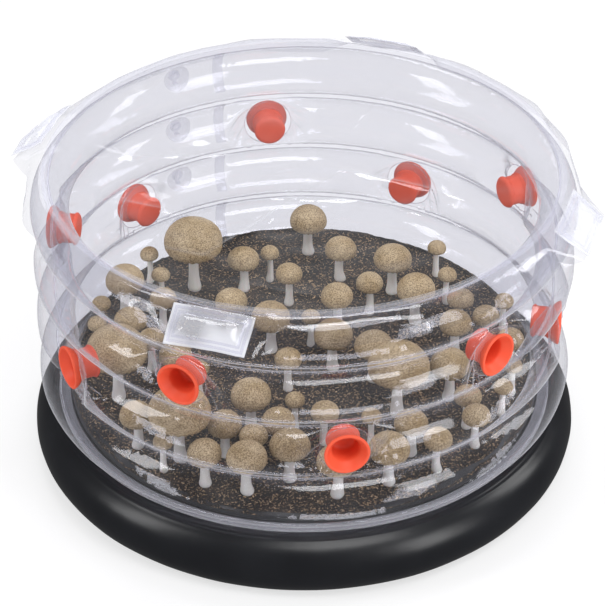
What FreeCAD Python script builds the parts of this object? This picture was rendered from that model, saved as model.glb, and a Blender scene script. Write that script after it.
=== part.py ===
import FreeCAD, Part
import os
import re
import Sketcher

# An inflatable grow tub: a black air-filled base ring, four clear air chambers stacked as a
# round wall, a slack clear lid, ten rubber port plugs, air valves, and a bed with mushrooms.
# Bearings run from the front (-Y) towards +X. Heights start at the face the tub stands on.

SIZES = {
    # wall: two clear sheets welded together along level bands, blown up between them
    "seam_radius": 274,
    "chamber_pitch": 68,
    "chamber_bulge": 21,
    "weld_height": 5,
    "weld_gap": 0.2,
    "film_thickness": 1,
    "seat_gap": 0.3,
    # base ring: a tube, flattened where it stands
    "ring_inset": 8,
    "ring_tube_radius": 38,
    "ring_wall": 1.5,
    "foot_cut": 3,
    "foot_weld_width": 12,
    "foot_weld_height": 2,
    # floor, liner and growing bed
    "floor_lift": 2,
    "floor_thickness": 1,
    "liner_thickness": 0.8,
    "liner_rim": 3,
    "fill_inset": 12,
    "bed_rise": 20,
    "bed_tilt": 2.7,
    "bed_margin": 2,
    # ports and their plugs
    "port_weld_radius": 28,
    "port_hole_radius": 18.6,
    "port_well_slope": 0.72,
    "port_well_margin": 4,
    "plug_clearance": 0.4,
    "plug_wall": 2.2,
    "plug_waist": 1.6,
    "plug_depth": 22,
    "plug_flange_reach": 5.8,
    "plug_rim_height": 10,
    # air valves and their caps
    "valve_flange_radius": 16,
    "valve_flange_thickness": 1.2,
    "valve_stem_radius": 5.6,
    "valve_stem_height": 5,
    "valve_bore_radius": 3.4,
    "valve_pin_clearance": 0.8,
    "valve_pin_length": 2.4,
    "cap_radius": 7,
    "cap_thickness": 2,
    "cap_pivot_reach": 9.5,
    "cap_strap_width": 5,
    "cap_barrel_radius": 1.1,
    # lid
    "lid_edge": 3,
    "lid_sag": 12,
    "lid_weld_width": 9,
    "lid_weld_thickness": 1.2,
    "skirt_reach": 29,
    "skirt_shoulder": 13,
    "skirt_drop": 27,
    "tab_width": 86,
    "tab_length": 44,
    "tab_thickness": 2.4,
    "tab_reach": 12,
    "tab_droop": 36,
    "tab_weld_margin": 3,
    "tab_weld_width": 7,
    "tab_weld_thickness": 0.6,
    # joint strip up the wall
    "strip_width": 12,
    "strip_thickness": 0.8,
    # mushrooms
    "cap_flatness": 0.82,
    "cap_underside": -30,
    "giant_cap": 34,
    "giant_stem": 7,
    "giant_height": 64,
    "large_cap": 22,
    "large_stem": 6.5,
    "large_height": 45,
    "medium_cap": 18.5,
    "medium_stem": 6,
    "medium_height": 41,
    "small_cap": 15.5,
    "small_stem": 5,
    "small_height": 41,
    "button_cap": 11,
    "button_stem": 4,
    "button_height": 38,
}

CHAMBERS = 4
PORT_START = 9
PORT_STEP = 36
PORTS = 10
UPPER_PORT_CHAMBER = 2
LOWER_PORT_CHAMBER = 3
WALL_VALVE_BEARING = 210
RING_VALVE_BEARING = 234
STRIP_BEARING = 200
TAB_START_BEARING = -18
TAB_SIDES = ["front", "right", "back", "left"]

# Where the mushrooms stand, right and back from the centre, as shares of the room in the bed.
GROWTH = {
    "giant": [(-0.51, 0.56), (-0.82, -0.25), (0.41, -0.36), (-0.53, -0.67)],
    "large": [
        (0.02, 0.84), (-0.82, 0.37), (0.41, 0.53), (-0.15, 0.09), (0.51, 0.30), (0.13, -0.04),
        (0.31, -0.12), (-0.23, -0.46), (0.64, -0.25), (-0.06, -0.80), (0.14, -0.90),
        (0.36, -0.82), (-0.24, -0.88),
    ],
    "medium": [
        (-0.78, 0.09), (-0.28, 0.55), (0.17, 0.63), (-0.33, 0.23), (0.15, 0.27), (0.68, 0.07),
        (-0.57, -0.16), (-0.11, -0.62), (0.46, -0.63), (-0.72, -0.58), (-0.34, -0.64),
        (-0.42, -0.83),
    ],
    "small": [
        (-0.64, 0.25), (-0.07, 0.44), (0.30, 0.37), (0.71, 0.25), (0.82, 0.12), (0.92, -0.05),
        (-0.68, -0.05), (-0.07, -0.19), (0.09, -0.56), (0.71, -0.45), (0.74, -0.58),
        (0.57, -0.74), (-0.215, -0.715),
    ],
    "button": [
        (-0.72, 0.61), (-0.66, 0.45), (-0.92, 0.23), (-0.93, 0.08), (-0.16, 0.62), (0.62, 0.66),
        (0.66, 0.45), (0.03, 0.13), (0.91, 0.25), (-0.46, -0.24), (-0.04, -0.46),
        (0.29, -0.57), (0.87, -0.37), (0.92, -0.22), (-0.60, -0.74),
    ],
}

# Levels and radii that several pieces share, worked out from the sizes.
RING_RADIUS = "(seam_radius - ring_inset)"
RING_LEVEL = "(ring_tube_radius - foot_cut)"
WALL_FOOT = "(ring_tube_radius + ring_tube_radius - foot_cut + seat_gap)"
LOWEST_SEAM = f"({WALL_FOOT} + foot_weld_height + weld_height / 2)"
HALF_CHORD = "((chamber_pitch - weld_height) / 2 - weld_gap)"
ARC_RADIUS = f"(({HALF_CHORD} ^ 2 + chamber_bulge ^ 2) / (2 * chamber_bulge))"
OUTER_ARC_CENTRE = f"(seam_radius + chamber_bulge - {ARC_RADIUS})"
INNER_ARC_CENTRE = f"(seam_radius - chamber_bulge + {ARC_RADIUS})"
CROWN_RADIUS = "(seam_radius + chamber_bulge)"
LID_LEVEL = f"({LOWEST_SEAM} + chamber_pitch * {CHAMBERS} + weld_height / 2 + seat_gap)"
FLOOR_TOP = "(floor_lift + floor_thickness)"
BED_LEVEL = f"({WALL_FOOT} + bed_rise)"
BED_ROOM = "(seam_radius - chamber_bulge - film_thickness - bed_margin)"
PORT_WELL_DEPTH = "(chamber_bulge + port_well_margin)"


doc = FreeCAD.newDocument("GrowTub")
sheet = doc.addObject("Spreadsheet::Sheet", "Sizes")
for row, (alias, size) in enumerate(SIZES.items(), start=1):
    sheet.set(f"A{row}", alias)
    sheet.set(f"B{row}", str(size))
    sheet.setAlias(f"B{row}", alias)
doc.recompute()


def sized(text):
    """The expression with every size name pointing at the sheet."""
    return re.sub(r"[a-z_]+", lambda word: f"Sizes.{word[0]}" if word[0] in SIZES else word[0], text)


def bind(part, **properties):
    for name, text in properties.items():
        part.setExpression(name, sized(text))
    return part


def measure(text):
    return float(sheet.evalExpression(sized(text)))


def make(kind, label, **properties):
    part = doc.addObject(kind, label)
    part.Label = label
    return bind(part, **properties)


def place(part, x="0", y="0", z="0", rotation=FreeCAD.Rotation()):
    """Sets where a piece stands and turns it; x, y and z are expressions."""
    part.Placement = FreeCAD.Placement(FreeCAD.Vector(measure(x), measure(y), measure(z)), rotation)
    part.setExpression("Placement.Base.x", sized(x))
    part.setExpression("Placement.Base.y", sized(y))
    part.setExpression("Placement.Base.z", sized(z))
    return part


def facing(bearing, tilt=90):
    """Turns a piece's own +Z to point away from the tub at a bearing; tilt 90 is level."""
    turn = FreeCAD.Rotation(FreeCAD.Vector(0, 0, 1), bearing)
    lean = FreeCAD.Rotation(FreeCAD.Vector(1, 0, 0), tilt)
    return turn * lean


def place_around(part, bearing, radius, height, tilt=90):
    """Puts a piece at a bearing and radius, facing outwards."""
    x = f"({radius}) * sin({bearing} deg)"
    y = f"-({radius}) * cos({bearing} deg)"
    return place(part, x, y, height, facing(bearing, tilt))


def place_sideways(part, bearing, radius, height, width):
    """Puts a piece that starts at its own corner at a bearing, with its width centred on it."""
    x = f"({radius}) * sin({bearing} deg) - {width} / 2 * cos({bearing} deg)"
    y = f"-({radius}) * cos({bearing} deg) - {width} / 2 * sin({bearing} deg)"
    return place(part, x, y, height, facing(bearing))


def cut(label, base, tool):
    part = make("Part::Cut", label)
    part.Base = base
    part.Tool = tool
    return part


def joined(label, pieces):
    part = make("Part::MultiFuse", label)
    part.Shapes = pieces
    return part


def overlap(label, pieces):
    part = make("Part::MultiCommon", label)
    part.Shapes = pieces
    return part


def group(label, pieces):
    part = make("Part::Compound", label)
    part.Links = pieces
    return part


def turned(label, corners):
    """A body turned about its own Z axis from a closed outline of (radius, height) corners."""
    body = make("PartDesign::Body", label)
    sketch = body.newObject("Sketcher::SketchObject", f"{label}_outline")
    upright = next(plane for plane in body.Origin.OriginFeatures if plane.Role == "XZ_Plane")
    sketch.AttachmentSupport = [(upright, "")]
    sketch.MapMode = "FlatFace"
    points = [FreeCAD.Vector(measure(across), measure(up), 0) for across, up in corners]
    for index, point in enumerate(points):
        following = points[(index + 1) % len(points)]
        sketch.addGeometry(Part.LineSegment(point, following), False)
    for index, (across, up) in enumerate(corners):
        before = (index - 1) % len(points)
        sketch.addConstraint(Sketcher.Constraint("Coincident", before, 2, index, 1))
        hold_corner(sketch, index, "X", across, points[index].x)
        hold_corner(sketch, index, "Y", up, points[index].y)
    turn = body.newObject("PartDesign::Revolution", f"{label}_turn")
    turn.Profile = sketch
    turn.ReferenceAxis = (sketch, ["V_Axis"])
    turn.Angle = 360
    return body


def hold_corner(sketch, index, direction, text, size):
    """Ties one coordinate of an outline's corner to its expression, or to the axis when it is 0."""
    if text == "0":
        axis = -2 if direction == "X" else -1
        sketch.addConstraint(Sketcher.Constraint("PointOnObject", index, 1, axis))
        return
    number = sketch.addConstraint(Sketcher.Constraint(f"Distance{direction}", -1, 1, index, 1, size))
    sketch.setExpression(f"Constraints[{number}]", sized(text))


def tube_ring(label, radius, thickness, level):
    ring = make("Part::Torus", label, Radius1=radius, Radius2=thickness)
    return place(ring, z=level)


def chamber_level(number):
    """The middle height of a wall chamber; number 1 is the top one."""
    return f"({LOWEST_SEAM} + chamber_pitch * {CHAMBERS - number + 0.5})"


def seam_level(number):
    """The middle height of a level weld; number 0 is the lowest one."""
    return f"({LOWEST_SEAM} + chamber_pitch * {number})"


def lens(label, number, grow):
    """The space between a chamber's two blown-up sheets, grown or shrunk all round."""
    level = chamber_level(number)
    outer = tube_ring(f"{label}_outer_arc", OUTER_ARC_CENTRE, f"{ARC_RADIUS} + {grow}", level)
    inner = tube_ring(f"{label}_inner_arc", INNER_ARC_CENTRE, f"{ARC_RADIUS} + {grow}", level)
    return overlap(label, [outer, inner])


def port_bearings(number):
    """The bearings of the ports in a chamber: the two rows take every second one in turn."""
    offset = 0 if number == LOWER_PORT_CHAMBER else 1
    return [PORT_START + PORT_STEP * step for step in range(offset, PORTS, 2)]


def port_well(label, number, bearing, start, margin):
    """The pair of cones that pinch a chamber's two sheets together round a port."""
    cones = []
    for side, direction in (("out", 1), ("in", -1)):
        cone = make(
            "Part::Cone",
            f"{label}_{side}",
            Radius1=f"port_weld_radius + {margin}",
            Radius2=f"port_weld_radius + {margin} + port_well_slope * {PORT_WELL_DEPTH}",
            Height=PORT_WELL_DEPTH,
        )
        radius = f"seam_radius + {direction} * {start}"
        cones.append(place_around(cone, bearing, radius, chamber_level(number), 90 * direction))
    return cones


def through_hole(label, number, bearing, radius, reach):
    """A round cutter through the pinched sheets at a port."""
    hole = make("Part::Cylinder", label, Radius=radius, Height=f"2 * ({reach})")
    return place_around(hole, bearing, f"seam_radius - ({reach})", chamber_level(number))


def valve_hole(label, bearing, crown, level):
    hole = make("Part::Cylinder", label, Radius="valve_bore_radius", Height="4 * film_thickness")
    return place_around(hole, bearing, f"{crown} - 2 * film_thickness", level)


# Wall: four chambers, each a closed sleeve of film with its inside empty. The two middle ones
# are pinched flat round their ports.
def wall_chamber(number):
    label = f"wall_chamber_{number}"
    shape = lens(f"{label}_sheets", number, "0")
    space = lens(f"{label}_space", number, "-film_thickness")
    if number in (UPPER_PORT_CHAMBER, LOWER_PORT_CHAMBER):
        wells = []
        wide_wells = []
        for bearing in port_bearings(number):
            port = f"{label}_port_{bearing}"
            wells += port_well(f"{port}_well", number, bearing, "film_thickness", "0")
            hole = through_hole(f"{port}_hole", number, bearing, "port_weld_radius", "2 * film_thickness")
            wells.append(hole)
            wide_wells += port_well(f"{port}_wide", number, bearing, "0", "1.5 * film_thickness")
        shape = cut(f"{label}_pinched", shape, joined(f"{label}_wells", wells))
        space = cut(f"{label}_pinched_space", space, joined(f"{label}_wide_wells", wide_wells))
    shell = cut(f"{label}_shell", shape, space)
    hole = valve_hole(f"{label}_valve_hole", WALL_VALVE_BEARING, CROWN_RADIUS, chamber_level(number))
    return cut(label, shell, hole)


# Level welds between the chambers, where the two sheets lie flat on each other.
def level_weld(label, number):
    return turned(label, [
        ("seam_radius - film_thickness", f"{seam_level(number)} - weld_height / 2"),
        ("seam_radius + film_thickness", f"{seam_level(number)} - weld_height / 2"),
        ("seam_radius + film_thickness", f"{seam_level(number)} + weld_height / 2"),
        ("seam_radius - film_thickness", f"{seam_level(number)} + weld_height / 2"),
    ])


# Flat weld that ties the wall to the top of the base ring.
def foot_weld():
    return turned("wall_foot_weld", [
        ("seam_radius + film_thickness - foot_weld_width", WALL_FOOT),
        ("seam_radius + film_thickness", WALL_FOOT),
        ("seam_radius + film_thickness", f"{WALL_FOOT} + foot_weld_height"),
        ("seam_radius + film_thickness - foot_weld_width", f"{WALL_FOOT} + foot_weld_height"),
    ])


def slab(label, radius, top, height):
    """A wide flat cutter whose upper face is at the given height."""
    cutter = make("Part::Cylinder", label, Radius=radius, Height=height)
    return place(cutter, z=f"{top} - ({height})")


# Base ring: a fat black tube standing on a flat foot, hollow for its air.
def base_ring():
    reach = f"{RING_RADIUS} + 2 * ring_tube_radius"
    tube = tube_ring("base_ring_tube", RING_RADIUS, "ring_tube_radius", RING_LEVEL)
    foot = slab("base_ring_foot_cut", reach, "0", "ring_tube_radius")
    standing = cut("base_ring_standing", tube, foot)
    air = tube_ring("base_ring_air", RING_RADIUS, "ring_tube_radius - ring_wall", RING_LEVEL)
    air_foot = slab("base_ring_air_cut", reach, "ring_wall", "ring_tube_radius")
    shell = cut("base_ring_shell", standing, cut("base_ring_flat_air", air, air_foot))
    crown = f"({RING_RADIUS} + ring_tube_radius)"
    hole = valve_hole("base_ring_valve_hole", RING_VALVE_BEARING, crown, RING_LEVEL)
    return cut("base_ring", shell, hole)


# Floor: a thin sheet across the inside of the ring, just above what the tub stands on.
def floor_sheet():
    ring_side = f"sqrt(ring_tube_radius ^ 2 - ({RING_LEVEL} - {FLOOR_TOP}) ^ 2)"
    sheet_radius = f"{RING_RADIUS} - {ring_side} - seat_gap"
    disc = make("Part::Cylinder", "floor_sheet", Radius=sheet_radius, Height="floor_thickness")
    return place(disc, z="floor_lift")


def tub_fill(label, clearance, lift, rise):
    """A filling of the tub's bottom, kept off the ring and the lowest chamber by a clearance."""
    height = f"{BED_LEVEL} + chamber_pitch"
    block_radius = f"seam_radius - fill_inset - ({clearance})"
    block = make("Part::Cylinder", f"{label}_block", Radius=block_radius, Height=height)
    place(block, z=f"{FLOOR_TOP} + {lift}")
    ring = tube_ring(f"{label}_off_ring", RING_RADIUS, f"ring_tube_radius + {clearance}", RING_LEVEL)
    wall = lens(f"{label}_off_wall", CHAMBERS, clearance)
    span = "4 * seam_radius"
    top = make("Part::Box", f"{label}_top", Length=span, Width=span, Height=height)
    tilt = FreeCAD.Rotation(FreeCAD.Vector(1, 0, 0), measure("bed_tilt"))
    place(top, "-2 * seam_radius", "-2 * seam_radius * cos(bed_tilt * 1 deg)",
          f"{BED_LEVEL} + {rise} - 2 * seam_radius * sin(bed_tilt * 1 deg)", tilt)
    return cut(label, block, joined(f"{label}_cutters", [ring, wall, top]))


# Liner: a thin black film tray under and round the bed.
def bed_liner():
    outside = tub_fill("liner_outside", "seat_gap", "seat_gap", "liner_rim")
    gap = "(seat_gap + liner_thickness)"
    inside = tub_fill("liner_inside", gap, gap, "chamber_pitch / 4")
    return cut("bed_liner", outside, inside)


# Bed: damp fibre and grit, a little lower at the front.
def substrate_bed():
    gap = "(2 * seat_gap + liner_thickness)"
    return tub_fill("substrate_bed", gap, gap, "0")


# Port rings: the stiff flat weld round each port, with the hole that a plug fits.
def port_weld_rings():
    rings = []
    for number in (UPPER_PORT_CHAMBER, LOWER_PORT_CHAMBER):
        for bearing in port_bearings(number):
            label = f"port_ring_{bearing}"
            rim = "port_weld_radius - seat_gap"
            disc = through_hole(f"{label}_disc", number, bearing, rim, "film_thickness")
            hole = through_hole(f"{label}_hole", number, bearing, "port_hole_radius", "2 * film_thickness")
            rings.append(cut(label, disc, hole))
    return group("port_weld_rings", rings)


# Plug: a soft cup with a flared mouth, pushed into a port from outside.
def port_plug(index):
    bearing = PORT_START + PORT_STEP * index
    number = LOWER_PORT_CHAMBER if index % 2 == 0 else UPPER_PORT_CHAMBER
    seat = "(port_hole_radius - plug_clearance)"
    waist = f"({seat} - plug_waist)"
    bore = f"({waist} - plug_wall)"
    flange = f"({seat} + plug_flange_reach)"
    flange_foot = "(film_thickness + seat_gap)"
    plug = turned(f"port_plug_{index + 1}", [
        ("0", "-plug_depth"),
        (waist, "-plug_depth"),
        (seat, "-plug_depth + plug_waist"),
        (seat, "-plug_depth + plug_waist + plug_wall"),
        (waist, "-plug_depth + 2 * plug_waist + plug_wall"),
        (waist, "-plug_wall - plug_waist"),
        (seat, "-plug_wall"),
        (seat, flange_foot),
        (f"{seat} + plug_wall", flange_foot),
        (flange, "plug_rim_height - plug_wall"),
        (flange, "plug_rim_height"),
        (f"{flange} - plug_wall", "plug_rim_height"),
        (bore, "plug_wall"),
        (bore, "-plug_depth + plug_wall"),
        ("0", "-plug_depth + plug_wall"),
    ])
    return place_around(plug, bearing, "seam_radius", chamber_level(number))


def film_patch(label, cutter, centre, arc, level, thickness):
    """A thin patch that lies on a blown-up surface, inside the outline of a cutter."""
    top = tube_ring(f"{label}_top", centre, f"{arc} + seat_gap + {thickness}", level)
    under = tube_ring(f"{label}_under", centre, f"{arc} + seat_gap", level)
    return overlap(label, [cut(f"{label}_skin", top, under), cutter])


# Valve: a flange on the film, a short stem with its bore, and a post for the cap's strap.
def air_valve(label, bearing, centre, arc, level):
    crown = f"({centre} + {arc})"
    outline = make("Part::Cylinder", f"{label}_outline", Radius="valve_flange_radius",
                   Height="valve_flange_radius")
    place_around(outline, bearing, f"{crown} - valve_flange_radius / 2", level)
    flange = film_patch(f"{label}_flange", outline, centre, arc, level, "valve_flange_thickness")
    foot = f"{crown} + seat_gap + valve_flange_thickness / 2"
    stem = make("Part::Cylinder", f"{label}_stem", Radius="valve_stem_radius",
                Height="valve_stem_height - valve_flange_thickness / 2")
    place_around(stem, bearing, foot, level)
    fall = f"(cap_pivot_reach ^ 2 / (2 * {arc}))"
    post_top = "(valve_stem_height + seat_gap + cap_thickness / 2 - cap_barrel_radius - seat_gap / 2)"
    post = make("Part::Box", f"{label}_post", Length="cap_strap_width", Width="2 * cap_barrel_radius",
                Height=f"{post_top} - valve_flange_thickness / 2 + {fall}")
    post_foot = f"({foot} - {fall})"
    post_level = f"{level} - cap_pivot_reach - cap_barrel_radius"
    place_sideways(post, bearing, post_foot, post_level, "cap_strap_width")
    bore = make("Part::Cylinder", f"{label}_bore", Radius="valve_bore_radius",
                Height="2 * valve_flange_radius")
    place_around(bore, bearing, f"{crown} - valve_flange_radius", level)
    solid = joined(f"{label}_solid", [flange, stem, post])
    return cut(label, solid, bore)


# Valve cap: a disc with a pin that stops the bore, on a strap that bends at its post.
def valve_cap(label, bearing, crown, level):
    seat = f"({crown} + 2 * seat_gap + valve_stem_height)"
    disc = make("Part::Cylinder", f"{label}_disc", Radius="cap_radius", Height="cap_thickness")
    place_around(disc, bearing, seat, level)
    pin = make("Part::Cylinder", f"{label}_pin", Radius="valve_bore_radius - valve_pin_clearance",
               Height="valve_pin_length + cap_thickness / 2")
    place_around(pin, bearing, f"{seat} - valve_pin_length", level)
    strap = make("Part::Box", f"{label}_strap", Length="cap_strap_width", Width="cap_pivot_reach",
                 Height="cap_thickness / 2")
    pivot_level = f"{level} - cap_pivot_reach"
    place_sideways(strap, bearing, f"({seat} + cap_thickness / 4)", pivot_level, "cap_strap_width")
    barrel = make("Part::Cylinder", f"{label}_barrel", Radius="cap_barrel_radius", Height="cap_strap_width")
    place_sideways(barrel, bearing, f"({seat} + cap_thickness / 2)", pivot_level, "cap_strap_width")
    barrel.Placement.Rotation = facing(bearing) * FreeCAD.Rotation(FreeCAD.Vector(0, 1, 0), 90)
    return joined(label, [disc, pin, strap, barrel])


# Joint strip: where the ends of the wall sheets lap, one patch on each chamber.
def wall_join_strip():
    patches = []
    for number in range(1, CHAMBERS + 1):
        label = f"join_strip_{number}"
        level = chamber_level(number)
        window = make("Part::Box", f"{label}_window", Length="strip_width",
                      Width="chamber_pitch - 2 * weld_height", Height="chamber_bulge")
        bottom = f"{level} - chamber_pitch / 2 + weld_height"
        place_sideways(window, STRIP_BEARING, "(seam_radius + chamber_bulge / 2)", bottom, "strip_width")
        patches.append(film_patch(label, window, OUTER_ARC_CENTRE, ARC_RADIUS, level, "strip_thickness"))
    return group("wall_join_strip", patches)


# Lid: a slack round sheet that hangs a little in the middle.
def lid_film():
    edge = "seam_radius + lid_edge"
    return turned("lid_film", [
        ("0", f"{LID_LEVEL} - lid_sag"),
        ("seam_radius / 2", f"{LID_LEVEL} - 3 * lid_sag / 4"),
        (edge, LID_LEVEL),
        (edge, f"{LID_LEVEL} + film_thickness"),
        ("seam_radius / 2", f"{LID_LEVEL} - 3 * lid_sag / 4 + film_thickness"),
        ("0", f"{LID_LEVEL} - lid_sag + film_thickness"),
    ])


# Lid weld: the band that joins the sheet to the skirt.
def lid_weld_ring():
    foot = f"{LID_LEVEL} + film_thickness + seat_gap"
    inside = "seam_radius + lid_edge - lid_weld_width / 2"
    outside = "seam_radius + lid_edge + lid_weld_width / 2"
    return turned("lid_weld_ring", [
        (inside, foot),
        (outside, foot),
        (outside, f"{foot} + lid_weld_thickness"),
        (inside, f"{foot} + lid_weld_thickness"),
    ])


# Lid skirt: spreads over the top chamber and hangs down outside it.
def lid_skirt():
    start = "seam_radius + lid_edge + seat_gap"
    bend = "(seam_radius + lid_edge + skirt_reach / 2)"
    shoulder = "(seam_radius + skirt_reach - film_thickness)"
    return turned("lid_skirt", [
        (start, LID_LEVEL),
        (bend, f"{LID_LEVEL} - skirt_shoulder / 4"),
        (shoulder, f"{LID_LEVEL} - skirt_shoulder"),
        ("seam_radius + skirt_reach", f"{LID_LEVEL} - skirt_drop"),
        ("seam_radius + skirt_reach + film_thickness", f"{LID_LEVEL} - skirt_drop"),
        (f"{shoulder} + film_thickness", f"{LID_LEVEL} - skirt_shoulder + film_thickness / 2"),
        (bend, f"{LID_LEVEL} - skirt_shoulder / 4 + film_thickness"),
        (start, f"{LID_LEVEL} + film_thickness"),
    ])


def hang_tab(part, bearing, inset, lift):
    """Rests a flat panel on the skirt's bend, drooping outwards, its corner moved in by inset."""
    rest = f"({LID_LEVEL} - skirt_shoulder / 4 + film_thickness + seat_gap / cos(tab_droop * 1 deg))"
    level = f"({rest} + (lid_edge + skirt_reach / 2 - tab_reach) * tan(tab_droop * 1 deg))"
    radius = "(seam_radius + tab_reach)"
    along = f"({inset} - tab_width / 2)"
    out = f"({radius} + cos(tab_droop * 1 deg) * ({inset}) + sin(tab_droop * 1 deg) * ({lift}))"
    x = f"{out} * sin({bearing} deg) + {along} * cos({bearing} deg)"
    y = f"-{out} * cos({bearing} deg) + {along} * sin({bearing} deg)"
    z = f"{level} - sin(tab_droop * 1 deg) * ({inset}) + cos(tab_droop * 1 deg) * ({lift})"
    droop = FreeCAD.Rotation(FreeCAD.Vector(1, 0, 0), 180 + measure("tab_droop"))
    turn = FreeCAD.Rotation(FreeCAD.Vector(0, 0, 1), bearing)
    return place(part, x, y, z, turn * droop)


# Pull tabs: doubled film panels to lift the lid by, each with a welded frame on its face.
def pull_tab(side, bearing):
    panel = make("Part::Box", f"pull_tab_{side}", Length="tab_width", Width="tab_length",
                 Height="tab_thickness")
    return hang_tab(panel, bearing, "0", "tab_thickness")


def tab_weld_frames(bearings):
    frames = []
    for side, bearing in bearings.items():
        label = f"tab_frame_{side}"
        outside = make("Part::Box", f"{label}_outside", Length="tab_width - 2 * tab_weld_margin",
                       Width="tab_length - 2 * tab_weld_margin", Height="tab_weld_thickness")
        hang_tab(outside, bearing, "tab_weld_margin", "tab_thickness + tab_weld_thickness")
        margin = "(tab_weld_margin + tab_weld_width)"
        inside = make("Part::Box", f"{label}_inside", Length=f"tab_width - 2 * {margin}",
                      Width=f"tab_length - 2 * {margin}", Height="4 * tab_weld_thickness")
        hang_tab(inside, bearing, margin, "tab_thickness + 2 * tab_weld_thickness")
        frames.append(cut(label, outside, inside))
    return group("tab_weld_frames", frames)


# Mushrooms: round flattened caps on upright stems, in five sizes.
def mushrooms(size, spots):
    caps = []
    stems = []
    for number, (across, back) in enumerate(spots, start=1):
        x = f"{across} * {BED_ROOM}"
        y = f"{back} * {BED_ROOM}"
        foot = f"({BED_LEVEL} + ({y} + {size}_stem) * tan(bed_tilt * 1 deg) + weld_gap)"
        cap = make(
            "Part::Ellipsoid",
            f"{size}_cap_{number}",
            Radius1=f"{size}_cap * cap_flatness",
            Radius2=f"{size}_cap",
            Radius3=f"{size}_cap",
            Angle1="cap_underside * 1 deg",
        )
        caps.append(place(cap, x, y, f"{foot} + {size}_height"))
        underside = f"{size}_height + {size}_cap * cap_flatness * sin(cap_underside * 1 deg)"
        stem = make("Part::Cylinder", f"{size}_stem_{number}", Radius=f"{size}_stem", Height=underside)
        stems.append(place(stem, x, y, foot))
    return [group(f"mushroom_caps_{size}", caps), group(f"mushroom_stems_{size}", stems)]


nodes = [base_ring(), floor_sheet(), bed_liner(), substrate_bed(), foot_weld()]
nodes += [level_weld(f"wall_seam_{number}", number) for number in range(CHAMBERS + 1)]
nodes += [wall_chamber(number) for number in range(1, CHAMBERS + 1)]
nodes += [wall_join_strip(), port_weld_rings()]
nodes += [port_plug(index) for index in range(PORTS)]
for number in range(1, CHAMBERS + 1):
    level = chamber_level(number)
    nodes.append(air_valve(f"wall_valve_{number}", WALL_VALVE_BEARING, OUTER_ARC_CENTRE, ARC_RADIUS, level))
    nodes.append(valve_cap(f"wall_valve_cap_{number}", WALL_VALVE_BEARING, CROWN_RADIUS, level))
nodes.append(air_valve("ring_valve", RING_VALVE_BEARING, RING_RADIUS, "ring_tube_radius", RING_LEVEL))
ring_crown = f"({RING_RADIUS} + ring_tube_radius)"
nodes.append(valve_cap("ring_valve_cap", RING_VALVE_BEARING, ring_crown, RING_LEVEL))
tab_bearings = {side: TAB_START_BEARING + 90 * quarter for quarter, side in enumerate(TAB_SIDES)}
nodes += [lid_film(), lid_weld_ring(), lid_skirt()]
nodes += [pull_tab(side, bearing) for side, bearing in tab_bearings.items()]
nodes.append(tab_weld_frames(tab_bearings))
for size, spots in GROWTH.items():
    nodes += mushrooms(size, spots)
doc.recompute()

for part in doc.Objects:
    if "Invalid" in part.State or "Error" in part.State:
        raise RuntimeError(f"{part.Label} could not be built")
for node in nodes:
    if node.Shape.isNull() or not node.Shape.isValid():
        raise RuntimeError(f"{node.Label} has no valid shape")
os.makedirs("parts", exist_ok=True)
for node in nodes:
    node.Shape.exportStep(f"parts/{node.Label}.step")
    box = node.Shape.BoundBox
    print(f"{node.Label}: {len(node.Shape.Solids)} solids, {node.Shape.Volume / 1000:.1f} cm3, "
          f"z {box.ZMin:.1f} to {box.ZMax:.1f}")
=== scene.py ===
import math
import random

import bmesh
import bpy
from mathutils import Matrix, Vector, noise


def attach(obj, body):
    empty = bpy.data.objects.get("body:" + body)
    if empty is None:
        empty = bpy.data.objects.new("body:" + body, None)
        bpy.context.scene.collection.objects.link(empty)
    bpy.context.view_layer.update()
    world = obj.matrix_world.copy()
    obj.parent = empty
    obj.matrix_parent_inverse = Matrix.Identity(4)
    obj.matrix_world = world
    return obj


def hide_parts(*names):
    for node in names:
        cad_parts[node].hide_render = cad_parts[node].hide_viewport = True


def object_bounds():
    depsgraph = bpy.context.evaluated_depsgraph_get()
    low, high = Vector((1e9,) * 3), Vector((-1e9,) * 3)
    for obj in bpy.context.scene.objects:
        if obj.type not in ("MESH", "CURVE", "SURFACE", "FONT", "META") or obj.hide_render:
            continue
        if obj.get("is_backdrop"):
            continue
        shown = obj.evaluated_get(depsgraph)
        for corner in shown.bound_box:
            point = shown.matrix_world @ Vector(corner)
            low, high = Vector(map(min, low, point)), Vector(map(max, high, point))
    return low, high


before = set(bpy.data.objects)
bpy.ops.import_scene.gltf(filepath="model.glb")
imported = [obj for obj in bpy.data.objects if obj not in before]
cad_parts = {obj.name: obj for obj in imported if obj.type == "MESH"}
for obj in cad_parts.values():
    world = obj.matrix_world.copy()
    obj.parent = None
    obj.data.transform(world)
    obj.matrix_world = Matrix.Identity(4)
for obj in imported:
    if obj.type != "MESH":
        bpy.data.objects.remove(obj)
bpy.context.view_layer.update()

# Studio: a wide white floor under soft lamps. The camera stands in front of the tub, higher
# than its lid, and looks down into it through a long lens.
CAMERA_PLACE = (0, -2.466, 1.8715)
CAMERA_PITCH = 34.52
LENS = 160.3
FLOOR_SIZE = 30
AIR_LIGHT = 0.66
AIR_MIRROR = 0.12
PAPER_GLOW = 0.64
PAPER_TONE = (0.3, 0.3, 0.305, 1)
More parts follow.
